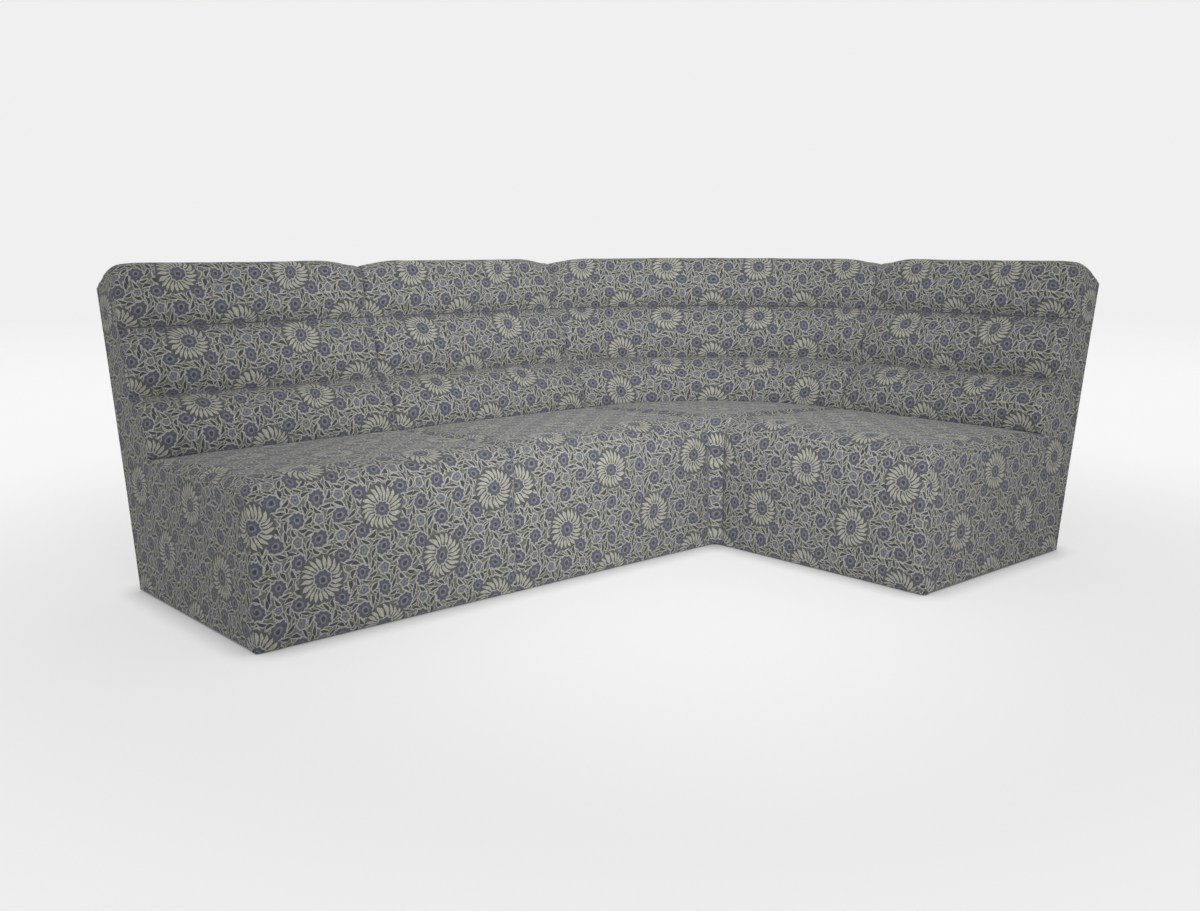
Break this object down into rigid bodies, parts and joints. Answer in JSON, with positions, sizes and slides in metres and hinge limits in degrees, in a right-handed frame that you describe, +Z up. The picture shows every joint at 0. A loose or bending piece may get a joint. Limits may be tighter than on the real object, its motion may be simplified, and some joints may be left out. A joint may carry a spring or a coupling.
{
  "type": "modular corner sofa",
  "caption": "Corner sofa of hook-together armless seats with a curved corner seat, a channelled back, waterfall fronts and printed fabric to the floor.",
  "frame": {"origin": "middle of the sofa's floor rectangle, on the floor", "axes": "+X along the long wing towards the corner, +Y from the long wing's front to its back, +Z up"},
  "size_m": [2.5104, 1.7354, 0.9178],
  "materials": {
    "printed_fabric": "woven print",
    "plywood": "raw",
    "beech": "raw",
    "webbing": "elastic weave",
    "dust_cloth": "non-woven",
    "glide_plastic": "moulded",
    "zinc_steel": "zinc plated"
  },
  "bodies": {
    "left_seat": {"left_back_board": "plywood", "left_back_rails": "beech", "left_base_rails": "beech", "left_dust_cover": "dust_cloth", "left_front_board": "plywood", "left_glides": "glide_plastic", "left_hooks": "zinc_steel", "left_lumbar_channel": "printed_fabric", "left_middle_channel": "printed_fabric", "left_outside_back": "printed_fabric", "left_seat_pad": "printed_fabric", "left_seat_webbing": "webbing", "left_side_covers": "printed_fabric", "left_side_frames": "plywood", "left_top_channel": "printed_fabric"},
    "centre_seat": {"centre_back_board": "plywood", "centre_back_rails": "beech", "centre_base_rails": "beech", "centre_dust_cover": "dust_cloth", "centre_front_board": "plywood", "centre_glides": "glide_plastic", "centre_hooks": "zinc_steel", "centre_lumbar_channel": "printed_fabric", "centre_middle_channel": "printed_fabric", "centre_outside_back": "printed_fabric", "centre_seat_pad": "printed_fabric", "centre_seat_webbing": "webbing", "centre_side_covers": "printed_fabric", "centre_side_frames": "plywood", "centre_slotted_plates": "zinc_steel", "centre_top_channel": "printed_fabric"},
    "right_seat": {"right_back_board": "plywood", "right_back_rails": "beech", "right_base_rails": "beech", "right_dust_cover": "dust_cloth", "right_front_board": "plywood", "right_glides": "glide_plastic", "right_hooks": "zinc_steel", "right_lumbar_channel": "printed_fabric", "right_middle_channel": "printed_fabric", "right_outside_back": "printed_fabric", "right_seat_pad": "printed_fabric", "right_seat_webbing": "webbing", "right_side_covers": "printed_fabric", "right_side_frames": "plywood", "right_top_channel": "printed_fabric"},
    "corner_seat": {"corner_back_board": "plywood", "corner_dust_cover": "dust_cloth", "corner_front_board": "plywood", "corner_glides": "glide_plastic", "corner_lumbar_channel": "printed_fabric", "corner_middle_channel": "printed_fabric", "corner_outside_back": "printed_fabric", "corner_ribs": "plywood", "corner_seat_deck": "plywood", "corner_seat_pad": "printed_fabric", "corner_side_covers": "printed_fabric", "corner_side_frames": "plywood", "corner_slotted_plates": "zinc_steel", "corner_top_channel": "printed_fabric"}
  },
  "joints": [
    {"name": "centre_lift", "type": "slide", "parent": "corner_seat", "child": "centre_seat", "axis": [0, 0, 1], "range_m": [0, 0.03]},
    {"name": "left_lift", "type": "slide", "parent": "centre_seat", "child": "left_seat", "axis": [0, 0, 1], "range_m": [0, 0.03]},
    {"name": "right_lift", "type": "slide", "parent": "corner_seat", "child": "right_seat", "axis": [0, 0, 1], "range_m": [0, 0.03]}
  ]
}
